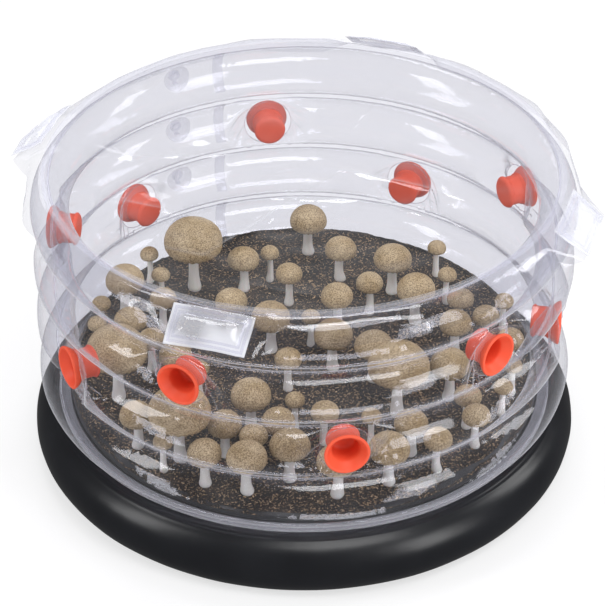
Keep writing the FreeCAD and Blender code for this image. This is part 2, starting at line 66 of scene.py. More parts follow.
# Each lamp: its place, the point it faces, its width and height, and its power in watts.
LAMPS = {
    "lamp_over_front": ((0.5, -1.3, 2.4), (0, 0, 0.2), 1.4, 0.8, 24),
    "lamp_front_right": ((1.9, -1.7, 0.95), (0, 0, 0.2), 0.9, 1.5, 24),
    "lamp_left": ((-1.9, -0.7, 1.3), (0, 0, 0.2), 0.6, 1.3, 16),
    "lamp_over_back": ((-0.2, 1.0, 2.6), (0, 0, 0.2), 1.6, 0.7, 24),
    "lamp_right": ((1.9, 0.3, 1.3), (0, 0, 0.2), 0.5, 1.1, 10),
    "card_behind": ((-0.9, 2.6, 1.9), (0, 0, 0.3), 0.8, 0.5, 3),
}

camera = bpy.data.objects.new("camera", bpy.data.cameras.new("camera"))
camera.location = CAMERA_PLACE
camera.rotation_euler = (math.radians(90 - CAMERA_PITCH), 0, 0)
camera.data.lens = LENS
camera.data.sensor_width = 36
camera.data.shift_x = -0.0017
camera.data.clip_end = 100
bpy.context.scene.collection.objects.link(camera)
bpy.context.scene.camera = camera
bpy.context.scene.view_settings.view_transform = "Standard"
bpy.context.scene.cycles.transparent_max_bounces = 32


def add_node(tree, kind, **sockets):
    """A node with its sockets filled: a value is set, and another node's socket is linked."""
    node = tree.nodes.new(kind)
    for name, value in sockets.items():
        socket = node.inputs[name.replace("_", " ")]
        if isinstance(value, bpy.types.NodeSocket):
            tree.links.new(value, socket)
        else:
            socket.default_value = value
    return node


def blank_material(name):
    material = bpy.data.materials.new(name)
    material.use_nodes = True
    material.node_tree.nodes.clear()
    return material, material.node_tree


def put_out(tree, shader):
    tree.links.new(shader.outputs[0], add_node(tree, "ShaderNodeOutputMaterial").inputs["Surface"])


def in_place(tree):
    """Object coordinates, in metres, that textures are laid out in."""
    return add_node(tree, "ShaderNodeTexCoord").outputs["Object"]


def ramp(tree, value, low, high):
    """A colour ramp between two stops, each a position and a colour."""
    node = add_node(tree, "ShaderNodeValToRGB", Fac=value)
    for element, (position, colour) in zip(node.color_ramp.elements, (low, high)):
        element.position = position
        element.color = colour
    return node.outputs[0]


def between(tree, share, first, second, blend="MIX"):
    """A colour mixed from two others, each a plain colour or another node's socket."""
    node = add_node(tree, "ShaderNodeMix", Factor=share)
    node.data_type = "RGBA"
    node.blend_type = blend
    for index, colour in ((6, first), (7, second)):
        if isinstance(colour, bpy.types.NodeSocket):
            tree.links.new(colour, node.inputs[index])
        else:
            node.inputs[index].default_value = colour
    return node.outputs[2]


def raised(tree, value, power):
    node = add_node(tree, "ShaderNodeMath", Value=value)
    node.operation = "POWER"
    node.inputs[1].default_value = power
    return node.outputs[0]


def joined(tree, kind, first, second, **sockets):
    """Two shaders mixed or added; they are the last two inputs of the node."""
    node = add_node(tree, kind, **sockets)
    tree.links.new(first.outputs[0], node.inputs[-2])
    tree.links.new(second.outputs[0], node.inputs[-1])
    return node


world = bpy.data.worlds.new("studio_air")
world.use_nodes = True
bpy.context.scene.world = world
air = world.node_tree
air.nodes.clear()
rays = add_node(air, "ShaderNodeLightPath")
dim = add_node(air, "ShaderNodeMapRange", Value=rays.outputs["Is Glossy Ray"], To_Min=AIR_LIGHT,
               To_Max=AIR_MIRROR)
strength = add_node(air, "ShaderNodeMath", Value=dim.outputs[0])
strength.operation = "MAXIMUM"
air.links.new(rays.outputs["Is Camera Ray"], strength.inputs[1])
glow = add_node(air, "ShaderNodeBackground", Color=(1, 1, 1, 1), Strength=strength.outputs[0])
air.links.new(glow.outputs[0], add_node(air, "ShaderNodeOutputWorld").inputs["Surface"])

floor_mesh = bpy.data.meshes.new("studio_floor")
floor_work = bmesh.new()
bmesh.ops.create_grid(floor_work, x_segments=1, y_segments=1, size=FLOOR_SIZE / 2)
floor_work.to_mesh(floor_mesh)
floor_work.free()
floor = bpy.data.objects.new("studio_floor", floor_mesh)
bpy.context.scene.collection.objects.link(floor)
floor.visible_glossy = False
paper, paper_tree = blank_material("white_paper")
matt = add_node(paper_tree, "ShaderNodeBsdfDiffuse", Color=PAPER_TONE)
lit_below = add_node(paper_tree, "ShaderNodeEmission", Color=(1, 1, 1, 1), Strength=PAPER_GLOW)
put_out(paper_tree, joined(paper_tree, "ShaderNodeAddShader", matt, lit_below))
floor_mesh.materials.append(paper)
floor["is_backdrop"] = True


def soft_lamp(name, place, target, width, height, power):
    lamp = bpy.data.lights.new(name, "AREA")
    lamp.shape = "RECTANGLE"
    lamp.size = width
    lamp.size_y = height
    lamp.energy = power
    stand = bpy.data.objects.new(name, lamp)
    stand.location = place
    aim = Vector(target) - Vector(place)
    stand.rotation_euler = aim.to_track_quat("-Z", "Y").to_euler()
    bpy.context.scene.collection.objects.link(stand)


for name, setting in LAMPS.items():
    soft_lamp(name, *setting)

# Base ring: a fat tube of black PVC film, blown up hard, standing on its flattened underside.
# Two level weld lines run round its shoulder where the sheets were joined.
RING_CENTRE = 0.266
RING_TUBE = 0.038
RING_LEVEL = 0.035
RING_POINTS = 72
RING_STEPS = 288
RING_WELDS = (62, 70, 118)
RING_WELD_WIDTH = 2.2
RING_WELD_RISE = 0.0007
RING_RIPPLE = 0.0005


def turned(outline, steps, closed=True):
    """A line of (radius, height) points turned all the way round the tub's upright axis."""
    work = bmesh.new()
    corners = [work.verts.new((0, -radius, height)) for radius, height in outline]
    following = corners[1:] + corners[:1] if closed else corners[1:]
    rim = [work.edges.new(pair) for pair in zip(corners, following)]
    bmesh.ops.spin(work, geom=corners + rim, cent=(0, 0, 0), axis=(0, 0, 1), dvec=(0, 0, 0),
                   angle=2 * math.pi, steps=steps, use_merge=True)
    bmesh.ops.remove_doubles(work, verts=work.verts, dist=0.00001)
    bmesh.ops.recalc_face_normals(work, faces=work.faces)
    return work


def finished(work, name, material, body, slot, *stood_for):
    """Makes the shaped mesh a piece that rides on a body and stands for its plain solids."""
    mesh = bpy.data.meshes.new(name)
    work.to_mesh(mesh)
    work.free()
    mesh.shade_smooth()
    mesh.materials.append(material)
    piece = bpy.data.objects.new(name, mesh)
    bpy.context.scene.collection.objects.link(piece)
    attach(piece, body)
    if stood_for:
        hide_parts(*stood_for)
    return piece


def bearing_of(point):
    """Degrees from the front towards the right-hand side."""
    return math.degrees(math.atan2(point.x, -point.y)) % 360


def radius_of(point):
    return math.hypot(point.x, point.y)


def moved_out(point, distance):
    """Moves a point away from the upright axis."""
    radius = radius_of(point)
    scale = (radius + distance) / radius
    point.x *= scale
    point.y *= scale


def black_pvc_finish():
    """Satin black PVC with a faint leathery grain and rubbed, slightly greyer patches."""
    material, tree = blank_material("black_pvc_film")
    where = in_place(tree)
    grain = add_node(tree, "ShaderNodeTexNoise", Vector=where, Scale=900.0, Detail=2.0)
    waves = add_node(tree, "ShaderNodeTexNoise", Vector=where, Scale=14.0, Detail=3.0)
    tone = between(tree, waves.outputs["Fac"], (0.005, 0.0053, 0.0066, 1), (0.012, 0.0128, 0.016, 1))
    rough = add_node(tree, "ShaderNodeMapRange", Value=waves.outputs["Fac"], To_Min=0.24, To_Max=0.36)
    fine = add_node(tree, "ShaderNodeBump", Strength=0.12, Distance=0.0004, Height=grain.outputs["Fac"])
    slow = add_node(tree, "ShaderNodeBump", Strength=0.2, Distance=0.004, Height=waves.outputs["Fac"],
                    Normal=fine.outputs["Normal"])
    skin = add_node(tree, "ShaderNodeBsdfPrincipled", Base_Color=tone, Roughness=rough.outputs[0],
                    Normal=slow.outputs["Normal"])
    skin.inputs["Specular IOR Level"].default_value = 0.42
    put_out(tree, skin)
    return material


def ring_outline():
    outline = []
    for index in range(RING_POINTS * 2):
        angle = 180 * index / RING_POINTS
        rise = sum(math.exp(-((angle - weld) / RING_WELD_WIDTH) ** 2) for weld in RING_WELDS)
        reach = RING_TUBE + RING_WELD_RISE * (rise - 1)
        radius = RING_CENTRE + reach * math.cos(math.radians(angle))
        height = RING_LEVEL + reach * math.sin(math.radians(angle))
        outline.append((radius, max(height, 0)))
    return outline


black_pvc = black_pvc_finish()
ring_work = turned(ring_outline(), RING_STEPS)
for vert in ring_work.verts:
    if vert.co.z > 0.001:
        ripple = noise.noise(Vector((vert.co.x * 22, vert.co.y * 22, vert.co.z * 6)))
        moved_out(vert.co, RING_RIPPLE * ripple * (1 if radius_of(vert.co) > RING_CENTRE else 2))
finished(ring_work, "base_ring_tube", black_pvc, "tub", "black_pvc", "base_ring")

# Floor and liner: a thin black sheet across the ring, and a loose black film tray on it that
# keeps the damp bed off the ring. The tray's rim is folded and creased against the wall.
LINER_FOOT = 0.0040
LINER_NECK = 0.2272
LINER_RIM = 0.2614
LINER_STEPS = 360
BED_MIDDLE = 0.0933
BED_SLOPE = math.tan(math.radians(2.7))


def black_film_finish():
    material, tree = blank_material("black_liner_film")
    where = in_place(tree)
    creases = add_node(tree, "ShaderNodeTexNoise", Vector=where, Scale=60.0, Detail=4.0)
    tone = between(tree, creases.outputs["Fac"], (0.012, 0.012, 0.013, 1), (0.03, 0.03, 0.032, 1))
    bump = add_node(tree, "ShaderNodeBump", Strength=0.6, Distance=0.003, Height=creases.outputs["Fac"])
    skin = add_node(tree, "ShaderNodeBsdfPrincipled", Base_Color=tone, Roughness=0.36,
                    Normal=bump.outputs["Normal"])
    put_out(tree, skin)
    return material


def recoated(node, material):
    """Gives a CAD node that shows as it is its finished material."""
    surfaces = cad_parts[node].data.materials
    surfaces.clear()
    surfaces.append(material)


black_film = black_film_finish()
recoated("floor_sheet", black_film)
liner_outline = [(0.0, LINER_FOOT)]
liner_outline += [(LINER_NECK * step / 12, LINER_FOOT) for step in range(1, 13)]
liner_outline += [(LINER_NECK, 0.02), (LINER_NECK, 0.045), (0.232, 0.058), (0.240, 0.0675), (0.249, 0.0722)]
liner_outline += [(LINER_RIM - 0.0015, 0.0748), (LINER_RIM, 0.078), (LINER_RIM - 0.001, 0.085)]
liner_outline += [(LINER_RIM - 0.001 - 0.0004 * step, 0.09 + 0.001 * step) for step in range(10)]
liner_work = turned(liner_outline, LINER_STEPS, closed=False)
for vert in liner_work.verts:
    if vert.co.z > 0.08:
        share = (vert.co.z - 0.08) / 0.019
        slope = BED_SLOPE * vert.co.y
        spot = Vector((vert.co.x * 14, vert.co.y * 14, 3.0))
        fold = noise.noise(spot)
        crease = noise.noise(Vector((vert.co.x * 60, vert.co.y * 60, 9.0)))
        vert.co.z += slope * share - 0.0035 * share + 0.004 * fold * share
        moved_out(vert.co, -0.004 * share * max(fold, 0) * 2 - 0.0012 * share * (1 + crease))
liner = finished(liner_work, "bed_liner_film", black_film, "tub", "black_film", "bed_liner")

# Growing bed: damp dark coir and grit, lumpy on top, with tan fibres lying in it. It fills the
# tray and lies a little lower at the front.
BED_RADIUS = 0.2602
BED_RINGS = 100
BED_STEPS = 340
FIBRES = 5200
HANDFUL = 65


def bed_height(x, y):
    """The top of the bed at a place."""
    lumps = noise.fractal(Vector((x * 38, y * 38, 0)), 1, 2, 3) * 0.0022
    grit = noise.noise(Vector((x * 230, y * 230, 5))) * 0.0011
    return BED_MIDDLE + BED_SLOPE * y + lumps + grit


def gathered(pieces):
    """One mesh from several, each freed after it is taken in."""
    whole = bmesh.new()
    for piece in pieces:
        spare = bpy.data.meshes.new("spare")
        piece.to_mesh(spare)
        piece.free()
        whole.from_mesh(spare)
        bpy.data.meshes.remove(spare)
    return whole


def substrate_finish():
    """Nearly black crumbs with brown and tan flecks of fibre, a little wet."""
    material, tree = blank_material("coir_substrate")
    where = in_place(tree)
    crumbs = add_node(tree, "ShaderNodeTexVoronoi", Vector=where, Scale=330.0)
    patches = add_node(tree, "ShaderNodeTexNoise", Vector=where, Scale=42.0, Detail=5.0, Roughness=0.65)
    flecks = add_node(tree, "ShaderNodeTexNoise", Vector=where, Scale=430.0, Detail=2.0)
    dark = ramp(tree, patches.outputs["Fac"], (0.35, (0.006, 0.0045, 0.0035, 1)),
                (0.75, (0.045, 0.029, 0.018, 1)))
    tan = ramp(tree, flecks.outputs["Fac"], (0.57, (0, 0, 0, 1)), (0.68, (1, 1, 1, 1)))
    mixed = between(tree, tan, dark, (0.42, 0.28, 0.15, 1))
    bump = add_node(tree, "ShaderNodeBump", Strength=0.9, Distance=0.002, Height=crumbs.outputs["Distance"])
    skin = add_node(tree, "ShaderNodeBsdfPrincipled", Base_Color=mixed, Roughness=0.7,
                    Normal=bump.outputs["Normal"])
    put_out(tree, skin)
    return material


def fibre_finish():
    material, tree = blank_material("coir_fibre")
    where = in_place(tree)
    shade = add_node(tree, "ShaderNodeTexNoise", Vector=where, Scale=120.0, Detail=1.0)
    tone = ramp(tree, shade.outputs["Fac"], (0.3, (0.16, 0.095, 0.05, 1)), (0.72, (0.8, 0.58, 0.35, 1)))
    put_out(tree, add_node(tree, "ShaderNodeBsdfPrincipled", Base_Color=tone, Roughness=0.6))
    return material


bed_outline = [(0.0, 0.0052), (0.2252, 0.0052), (0.2252, 0.050), (0.2330, 0.0612), (0.2420, 0.0702)]
bed_outline += [(0.2500, 0.0740), (0.2585, 0.0762), (BED_RADIUS, 0.0790)]
bed_outline += [(BED_RADIUS * (1 - step / BED_RINGS), 0.2) for step in range(BED_RINGS + 1)]
bed_work = turned(bed_outline, BED_STEPS, closed=False)
for vert in bed_work.verts:
    if vert.co.z > 0.1:
        vert.co.z = bed_height(vert.co.x, vert.co.y)
bmesh.ops.recalc_face_normals(bed_work, faces=bed_work.faces)
finished(bed_work, "substrate_bed_top", substrate_finish(), "tub", "substrate", "substrate_bed")

fibre_draw = random.Random(11)
handfuls = []
for index in range(FIBRES):
    distance = BED_RADIUS * 0.985 * math.sqrt(fibre_draw.random())
    bearing = fibre_draw.uniform(0, 2 * math.pi)
    x = distance * math.sin(bearing)
    y = -distance * math.cos(bearing)
    length = fibre_draw.uniform(0.0014, 0.0042)
    thick = fibre_draw.uniform(0.0004, 0.0009)
    lie = Matrix.Rotation(fibre_draw.uniform(0, 2 * math.pi), 4, "Z")
    lean = Matrix.Rotation(math.radians(fibre_draw.uniform(66, 96)), 4, "Y")
    spot = Matrix.Translation((x, y, bed_height(x, y) + 0.0006))
    if index % HANDFUL == 0:
        handfuls.append(bmesh.new())
    bmesh.ops.create_cone(handfuls[-1], cap_ends=True, cap_tris=False, segments=3, radius1=thick,
                          radius2=thick * 0.4, depth=length, matrix=spot @ lie @ lean)
finished(gathered(handfuls), "coir_fibres", fibre_finish(), "tub", "substrate")

# Mushrooms: tan-brown speckled caps with a rolled edge and pleated gills, on white stems that
# swell at the foot. They grow out of the bed in five sizes.
CAP_STEPS = 48
STEM_STEPS = 20
CAP_OUTLINE = [
    (0.0, 1.0), (0.16, 0.99), (0.32, 0.955), (0.48, 0.89), (0.63, 0.79), (0.76, 0.66), (0.87, 0.5),
    (0.945, 0.33), (0.99, 0.14), (1.0, -0.04), (0.985, -0.2), (0.94, -0.34), (0.87, -0.43), (0.8, -0.45),
    (0.7, -0.40), (0.55, -0.34), (0.38, -0.32), (0.22, -0.34), (0.0, -0.34),
]
STEM_OUTLINE = [
    (0.0, -0.06), (0.9, -0.06), (1.15, 0.0), (1.24, 0.05), (1.2, 0.11), (1.06, 0.2), (0.94, 0.36),
    (0.88, 0.55), (0.86, 0.75), (0.9, 0.92), (1.0, 1.0), (0.0, 1.0),
]


def loose_boxes(node):
    """The lowest and highest corners of each separate solid in a node."""
    work = bmesh.new()
    work.from_mesh(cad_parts[node].data)
    bmesh.ops.remove_doubles(work, verts=work.verts, dist=0.000005)
    left = set(work.verts)
    boxes = []
    while left:
        reached = [left.pop()]
        for vert in reached:
            for edge in vert.link_edges:
                other = edge.other_vert(vert)
                if other in left:
                    left.remove(other)
                    reached.append(other)
        low = Vector([min(vert.co[axis] for vert in reached) for axis in range(3)])
        high = Vector([max(vert.co[axis] for vert in reached) for axis in range(3)])
        boxes.append((low, high))
    work.free()
    return sorted(boxes, key=lambda box: (round(box[0].x, 5), round(box[0].y, 5)))


def cap_finish():
    """Velvety tan skin with fine specks and soft blotches."""
    material, tree = blank_material("mushroom_skin")
    where = in_place(tree)
    specks = add_node(tree, "ShaderNodeTexNoise", Vector=where, Scale=720.0, Detail=2.0, Roughness=0.6)
    blotches = add_node(tree, "ShaderNodeTexNoise", Vector=where, Scale=48.0, Detail=4.0)
    base = ramp(tree, blotches.outputs["Fac"], (0.3, (0.36, 0.265, 0.14, 1)), (0.72, (0.56, 0.455, 0.3, 1)))
    fleck = ramp(tree, specks.outputs["Fac"], (0.4, (0.5, 0.45, 0.39, 1)), (0.58, (1.16, 1.14, 1.08, 1)))
    skin_tone = between(tree, 1.0, base, fleck, "MULTIPLY")
    bump = add_node(tree, "ShaderNodeBump", Strength=0.35, Distance=0.0006, Height=specks.outputs["Fac"])
    skin = add_node(tree, "ShaderNodeBsdfPrincipled", Base_Color=skin_tone, Roughness=0.78,
                    Normal=bump.outputs["Normal"])
    skin.inputs["Specular IOR Level"].default_value = 0.25
    put_out(tree, skin)
    return material


def stem_finish():
    material, tree = blank_material("mushroom_flesh")
    where = in_place(tree)
    streaks = add_node(tree, "ShaderNodeMapping", Vector=where, Scale=(300, 300, 40))
    fibres = add_node(tree, "ShaderNodeTexNoise", Vector=streaks.outputs[0], Scale=1.0, Detail=3.0)
    tone = ramp(tree, fibres.outputs["Fac"], (0, (0.78, 0.75, 0.68, 1)), (1, (0.93, 0.92, 0.88, 1)))
    bump = add_node(tree, "ShaderNodeBump", Strength=0.3, Distance=0.0005, Height=fibres.outputs["Fac"])
    skin = add_node(tree, "ShaderNodeBsdfPrincipled", Base_Color=tone, Roughness=0.55,
                    Normal=bump.outputs["Normal"])
    skin.inputs["Subsurface Weight"].default_value = 0.1
    skin.inputs["Subsurface Scale"].default_value = 0.003
    put_out(tree, skin)
    return material


cap_skin = cap_finish()
stem_flesh = stem_finish()
for size in ("giant", "large", "medium", "small", "button"):
    caps = []
    for low, high in loose_boxes(f"mushroom_caps_{size}"):
        middle = (low + high) / 2
        reach = (high.x - low.x) / 2
        crown = (high.z - low.z) / 1.5
        centre = Vector((middle.x, middle.y, high.z - crown))
        cap = turned([(across * reach, up * crown) for across, up in CAP_OUTLINE], CAP_STEPS, closed=False)
        for vert in cap.verts:
            spot = Vector((middle.x * 70 + vert.co.x * 36, middle.y * 70 + vert.co.y * 36, vert.co.z * 36))
            swell = 1 + 0.035 * noise.noise(spot)
            vert.co *= swell
            under = vert.co.z < -0.3 * crown and radius_of(vert.co) > 0.3 * reach
            if under and round(bearing_of(vert.co) / 360 * CAP_STEPS) % 2:
                vert.co.z += 0.05 * crown
        tip = noise.noise(middle * 55) * 9
        turn = Matrix.Rotation(math.radians(tip), 4, "X") @ Matrix.Rotation(math.radians(-tip / 2), 4, "Y")
        bmesh.ops.transform(cap, matrix=Matrix.Translation(centre) @ turn, verts=cap.verts)
        caps.append(cap)
    finished(gathered(caps), f"caps_{size}", cap_skin, "tub", "mushroom_cap", f"mushroom_caps_{size}")
    stems = []
    for low, high in loose_boxes(f"mushroom_stems_{size}"):
        reach = (high.x - low.x) / 2
        tall = high.z - low.z
        stem = turned([(across * reach * 0.93, up * tall) for across, up in STEM_OUTLINE], STEM_STEPS,
                      closed=False)
        sway = noise.noise(Vector((low.x * 40, low.y * 40, 2))) * 0.16
        for vert in stem.verts:
            share = max(0, min(1, vert.co.z / tall))
            vert.co.x += sway * tall * math.sin(share * math.pi) * 0.5
            vert.co.y += sway * tall * math.sin(share * math.pi) * 0.3
        foot = Vector(((low.x + high.x) / 2, (low.y + high.y) / 2, low.z))
        bmesh.ops.translate(stem, vec=foot, verts=stem.verts)
        stems.append(stem)
    finished(gathered(stems), f"stems_{size}", stem_flesh, "tub", "mushroom_stem", f"mushroom_stems_{size}")

# Wall welds: the two clear sheets of the wall are pressed together along level bands, each with
# a double ribbed line, and a flat flange at the foot is welded to the top of the ring.
SEAM_RADIUS = 0.274
LOWEST_SEAM = 0.0778
CHAMBER_PITCH = 0.068
SEAM_STEPS = 360
RIB_RISE = 0.0006
SEAM_HALF = 0.0025
FOOT_IN = 0.263
FOOT_OUT = 0.275
FOOT_LOW = 0.0733
FOOT_HIGH = 0.0753


def weld_finish(name, face_on, edge_on):
    """Pressed film: milkier than the rest, with a fine cross-ribbed print and a soft shine."""
    material, tree = blank_material(name)
    where = in_place(tree)
    print_lines = add_node(tree, "ShaderNodeTexVoronoi", Vector=where, Scale=420.0)
    waves = add_node(tree, "ShaderNodeTexNoise", Vector=where, Scale=55.0, Detail=3.0)
    fine = add_node(tree, "ShaderNodeBump", Strength=0.35, Distance=0.0006,
                    Height=print_lines.outputs["Distance"])
    slow = add_node(tree, "ShaderNodeBump", Strength=0.5, Distance=0.004, Height=waves.outputs["Fac"],
                    Normal=fine.outputs["Normal"])
    clear = add_node(tree, "ShaderNodeBsdfTransparent", Color=(0.95, 0.95, 0.97, 1))
    milk = add_node(tree, "ShaderNodeBsdfPrincipled", Base_Color=(0.93, 0.935, 0.97, 1), Roughness=0.16,
                    Normal=slow.outputs["Normal"])
    edge = add_node(tree, "ShaderNodeLayerWeight", Blend=0.5, Normal=slow.outputs["Normal"])
    steep = raised(tree, edge.outputs["Facing"], 3.0)
    veil = add_node(tree, "ShaderNodeMapRange", Value=steep, To_Min=face_on, To_Max=edge_on)
    put_out(tree, joined(tree, "ShaderNodeMixShader", clear, milk, Fac=veil.outputs[0]))
    return material


welded_film = weld_finish("welded_film", 0.045, 0.4)
for number in range(5):
    level = LOWEST_SEAM + CHAMBER_PITCH * number
    side = []
    for share in (-1, -0.8, -0.6, -0.4, -0.2, 0, 0.2, 0.4, 0.6, 0.8, 1):
        rib = RIB_RISE if abs(share) == 0.6 else 0
        side.append((0.0007 + rib, share * SEAM_HALF))
    outline = [(SEAM_RADIUS + out, level + up) for out, up in side]
    outline += [(SEAM_RADIUS - out, level + up) for out, up in reversed(side)]
    seam = turned(outline, SEAM_STEPS)
    for vert in seam.verts:
        pull = noise.noise(Vector((vert.co.x * 60, vert.co.y * 60, number * 7)))
        moved_out(vert.co, 0.0004 * pull)
    finished(seam, f"wall_seam_band_{number}", welded_film, "tub", "film_weld", f"wall_seam_{number}")
foot_outline = [(FOOT_IN, FOOT_LOW), (FOOT_OUT, FOOT_LOW)]
for share in (1, 0.9, 0.8, 0.7, 0.6, 0.5, 0.4, 0.3, 0.2, 0.1, 0):
    rib = 0 if round(share * 10) % 3 else 0.0006
    foot_outline.append((FOOT_IN + (FOOT_OUT - FOOT_IN) * share, FOOT_HIGH - 0.0006 + rib))
foot_film = weld_finish("foot_film", 0.14, 0.55)
finished(turned(foot_outline, SEAM_STEPS), "wall_foot_flange", foot_film, "tub", "film_weld", "wall_foot_weld")

# Wall chambers: four sleeves of clear soft PVC film, blown up between the welds. The two middle
# ones are pinched flat round their ports, which leaves eye-shaped dimples with radial puckers.
HALF_CHORD = 0.0313
BULGE = 0.021
CHAMBER_STEPS = 560
SHEET_POINTS = 26
PORT_FLAT = 0.0272
PORT_SLOPE = 0.72
PORT_SOFTNESS = 0.004
PORTS = {3: (9, 81, 153, 225, 297), 2: (45, 117, 189, 261, 333)}
VALVE_BEARING = 210
HOLE_CUT = 0.0262
SEAM_PUCKER = 0.0007
PORT_PUCKER = 0.0017
FILM_TINT = (0.93, 0.93, 0.953, 1)
FACE_SHINE = 0.055
EDGE_VEIL = 0.42


def film_finish(name, haze, milky, tint, fold_scale, fold_depth, edge_shine):
    """Clear soft PVC: see-through face on, glossy, and greyer where it is seen edge on."""
    material, tree = blank_material(name)
    where = in_place(tree)
    folds = add_node(tree, "ShaderNodeTexNoise", Vector=where, Scale=fold_scale, Detail=2.0, Roughness=0.45)
    ripple = add_node(tree, "ShaderNodeBump", Strength=fold_depth, Distance=0.01,
                      Height=folds.outputs["Fac"])
    edge = add_node(tree, "ShaderNodeLayerWeight", Blend=0.5, Normal=ripple.outputs["Normal"])
    steep = raised(tree, edge.outputs["Facing"], 4.0)
    shine = add_node(tree, "ShaderNodeMapRange", Value=steep, To_Min=FACE_SHINE, To_Max=edge_shine)
    clear = add_node(tree, "ShaderNodeBsdfTransparent", Color=tint)
    gloss = add_node(tree, "ShaderNodeBsdfPrincipled", Base_Color=(0.95, 0.95, 0.98, 1), Metallic=1.0,
                     Roughness=0.09, Normal=ripple.outputs["Normal"])
    lit = joined(tree, "ShaderNodeMixShader", clear, gloss, Fac=shine.outputs[0])
    clouds = add_node(tree, "ShaderNodeTexNoise", Vector=where, Scale=fold_scale * 0.6, Detail=1.0)
    patch = add_node(tree, "ShaderNodeMapRange", Value=clouds.outputs["Fac"], From_Min=0.42, From_Max=0.62,
                     To_Min=haze, To_Max=milky)
    veil = add_node(tree, "ShaderNodeMath", Value=steep)
    veil.operation = "MULTIPLY_ADD"
    veil.inputs[1].default_value = EDGE_VEIL
    tree.links.new(patch.outputs[0], veil.inputs[2])
    dust = add_node(tree, "ShaderNodeBsdfDiffuse", Color=(0.86, 0.87, 0.92, 1))
    put_out(tree, joined(tree, "ShaderNodeMixShader", lit, dust, Fac=veil.outputs[0]))
    return material


def lens_outline(level):
    """A blown-up chamber cut through: the outer sheet upwards, then the inner one downwards."""
    arc = (HALF_CHORD ** 2 + BULGE ** 2) / (2 * BULGE)
    half = math.asin(HALF_CHORD / arc)
    outline = []
    for index in range(SHEET_POINTS * 2):
        angle = half * (index / SHEET_POINTS * 2 - 1)
        side = 1
        if index > SHEET_POINTS:
            angle = half * (3 - index / SHEET_POINTS * 2)
            side = -1
        swell = arc * math.cos(angle) - arc + BULGE
        outline.append((SEAM_RADIUS + side * swell, level + arc * math.sin(angle)))
    return outline


def softly_less(first, second, softness):
    """The lesser of two numbers, with the change from one to the other rounded."""
    mix = max(0, min(1, 0.5 + 0.5 * (second - first) / softness))
    return second * (1 - mix) + first * mix - softness * mix * (1 - mix)


def way_round(bearing, marks):
    """How far round the weld circle the nearest of some bearings lies, signed, in metres."""
    turns = [(bearing - mark + 180) % 360 - 180 for mark in marks]
    return math.radians(min(turns, key=abs)) * SEAM_RADIUS


def chamber_swell(swell, bearing, height, number, side):
    """How far a sheet stands from the weld plane once it is puckered and pinched."""
    circle = math.radians(bearing)
    around = Vector((math.sin(circle), math.cos(circle), 0))
    slow = noise.noise(around * 5 + Vector((0, 0, number * 3 + side)))
    quick = noise.noise(around * 42 + Vector((0, 0, number * 5 + side)))
    beside = math.exp(-((HALF_CHORD - abs(height)) / 0.008) ** 2)
    calm = 1 - math.exp(-((bearing - VALVE_BEARING) / 6) ** 2)
    swell *= 1 + 0.035 * slow * calm
    swell += SEAM_PUCKER * quick * beside * min(1, swell / 0.003) * (1 if side > 0 else 1.6)
    if number in PORTS:
        along = way_round(bearing, PORTS[number])
        reach = math.hypot(along, height)
        spoke = math.atan2(height, along)
        spokes = math.sin(spoke * 11 + bearing) + 0.7 * math.sin(spoke * 17 + 2 * bearing)
        pucker = PORT_PUCKER * spokes * math.exp(-((reach - 0.037) / 0.012) ** 2)
        well = max(0, (reach - PORT_FLAT) * PORT_SLOPE) + 0.0005
        swell = softly_less(swell, well, PORT_SOFTNESS) + (pucker if reach > PORT_FLAT + 0.001 else 0)
    return max(swell, 0.0004 if abs(height) < HALF_CHORD - 0.0005 else 0)


def open_ports(work, level, ports):
    """Cuts a round hole through both sheets at each port and joins the two rims."""
    inside = []
    for face in work.faces:
        middle = face.calc_center_median()
        along = way_round(bearing_of(middle), ports)
        if math.hypot(along, middle.z - level) < HOLE_CUT:
            inside.append(face)
    bmesh.ops.delete(work, geom=inside, context="FACES")
    rims = [edge for edge in work.edges if edge.is_boundary]
    for port in ports:
        rim = [edge for edge in rims if abs((bearing_of(edge.verts[0].co) - port + 180) % 360 - 180) < 15]
        for vert in {vert for edge in rim for vert in edge.verts}:
            along = way_round(bearing_of(vert.co), ports)
            spoke = math.atan2(vert.co.z - level, along)
            turn = math.radians(port) + PORT_FLAT * math.cos(spoke) / SEAM_RADIUS
            radius = radius_of(vert.co)
            vert.co = Vector((radius * math.sin(turn), -radius * math.cos(turn),
                              level + PORT_FLAT * math.sin(spoke)))
        bmesh.ops.bridge_loops(work, edges=rim)


clear_wall = film_finish("clear_wall_film", 0.004, 0.014, FILM_TINT, 22.0, 0.1, 0.62)
for number in (1, 2, 3, 4):
    level = LOWEST_SEAM + CHAMBER_PITCH * (4 - number + 0.5)
    chamber = turned(lens_outline(level), CHAMBER_STEPS)
    for vert in chamber.verts:
        radius = radius_of(vert.co)
        side = 1 if radius >= SEAM_RADIUS else -1
        plain = abs(radius - SEAM_RADIUS)
        swell = chamber_swell(plain, bearing_of(vert.co), vert.co.z - level, number, side)
        moved_out(vert.co, SEAM_RADIUS + side * swell - radius)
    if number in PORTS:
        open_ports(chamber, level, PORTS[number])
    bmesh.ops.recalc_face_normals(chamber, faces=chamber.faces)
    finished(chamber, f"wall_sleeve_{number}", clear_wall, "tub", "clear_film", f"wall_chamber_{number}")
recoated("wall_join_strip", welded_film)

